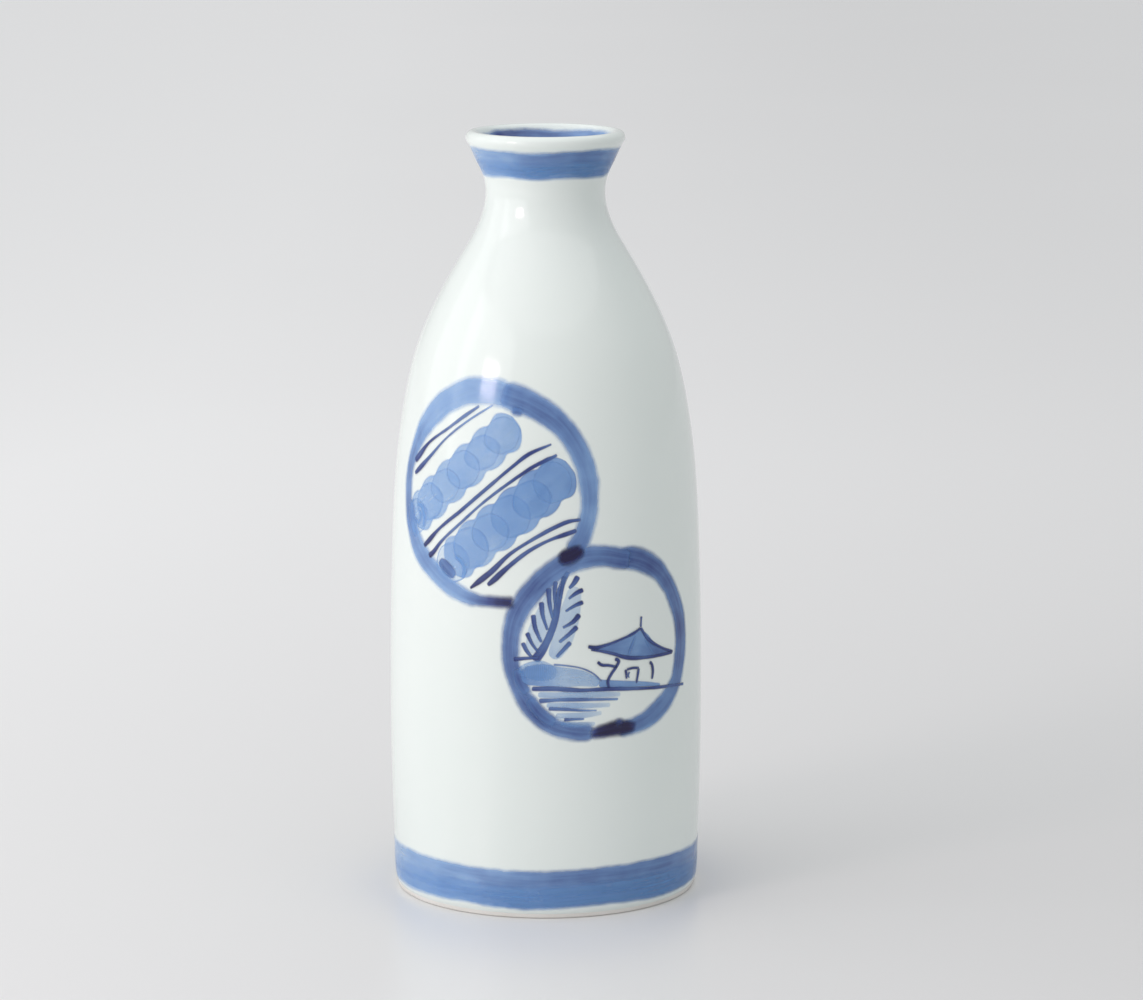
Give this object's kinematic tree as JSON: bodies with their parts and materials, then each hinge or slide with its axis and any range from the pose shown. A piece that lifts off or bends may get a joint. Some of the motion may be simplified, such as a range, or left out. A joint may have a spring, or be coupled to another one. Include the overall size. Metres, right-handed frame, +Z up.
{
  "type": "sake bottle",
  "caption": "Tall porcelain sake bottle with a long sloping shoulder, narrow neck and flared lip, painted in cobalt blue with bands and overlapping landscape roundels.",
  "frame": {"origin": "middle of the foot, on the plane of the table", "axes": "+Z up along the bottle's own axis, -Y towards the painted side, +X to the right when the painting is faced"},
  "size_m": [0.0698, 0.0698, 0.17],
  "materials": {
    "porcelain": "bare fired porcelain, matte, slightly warm",
    "outer_glaze": "clear gloss glaze over white porcelain, faint blue-green tint",
    "inner_glaze": "clear gloss glaze, a little thinner than outside",
    "base_glaze": "clear gloss glaze in the recess of the foot",
    "cobalt_band": "cobalt under gloss glaze, brushed round with horizontal streaks and soft edges",
    "cobalt_stroke": "broad cobalt brush stroke under gloss glaze, near black where the brush was set down",
    "cobalt_wash": "thin pale cobalt wash under gloss glaze",
    "cobalt_line": "fine dark cobalt line under gloss glaze"
  },
  "bodies": {
    "root": {"porcelain_body": "porcelain", "outer_glaze": "outer_glaze", "inner_glaze": "inner_glaze", "base_glaze": "base_glaze", "mouth_band": "cobalt_band", "neck_band": "cobalt_band", "foot_band": "cobalt_band", "upper_ring": "cobalt_stroke", "upper_wash": "cobalt_wash", "upper_lines": "cobalt_line", "lower_ring": "cobalt_stroke", "tree": "cobalt_line", "shore": "cobalt_line", "pavilion": "cobalt_line"}
  },
  "joints": []
}
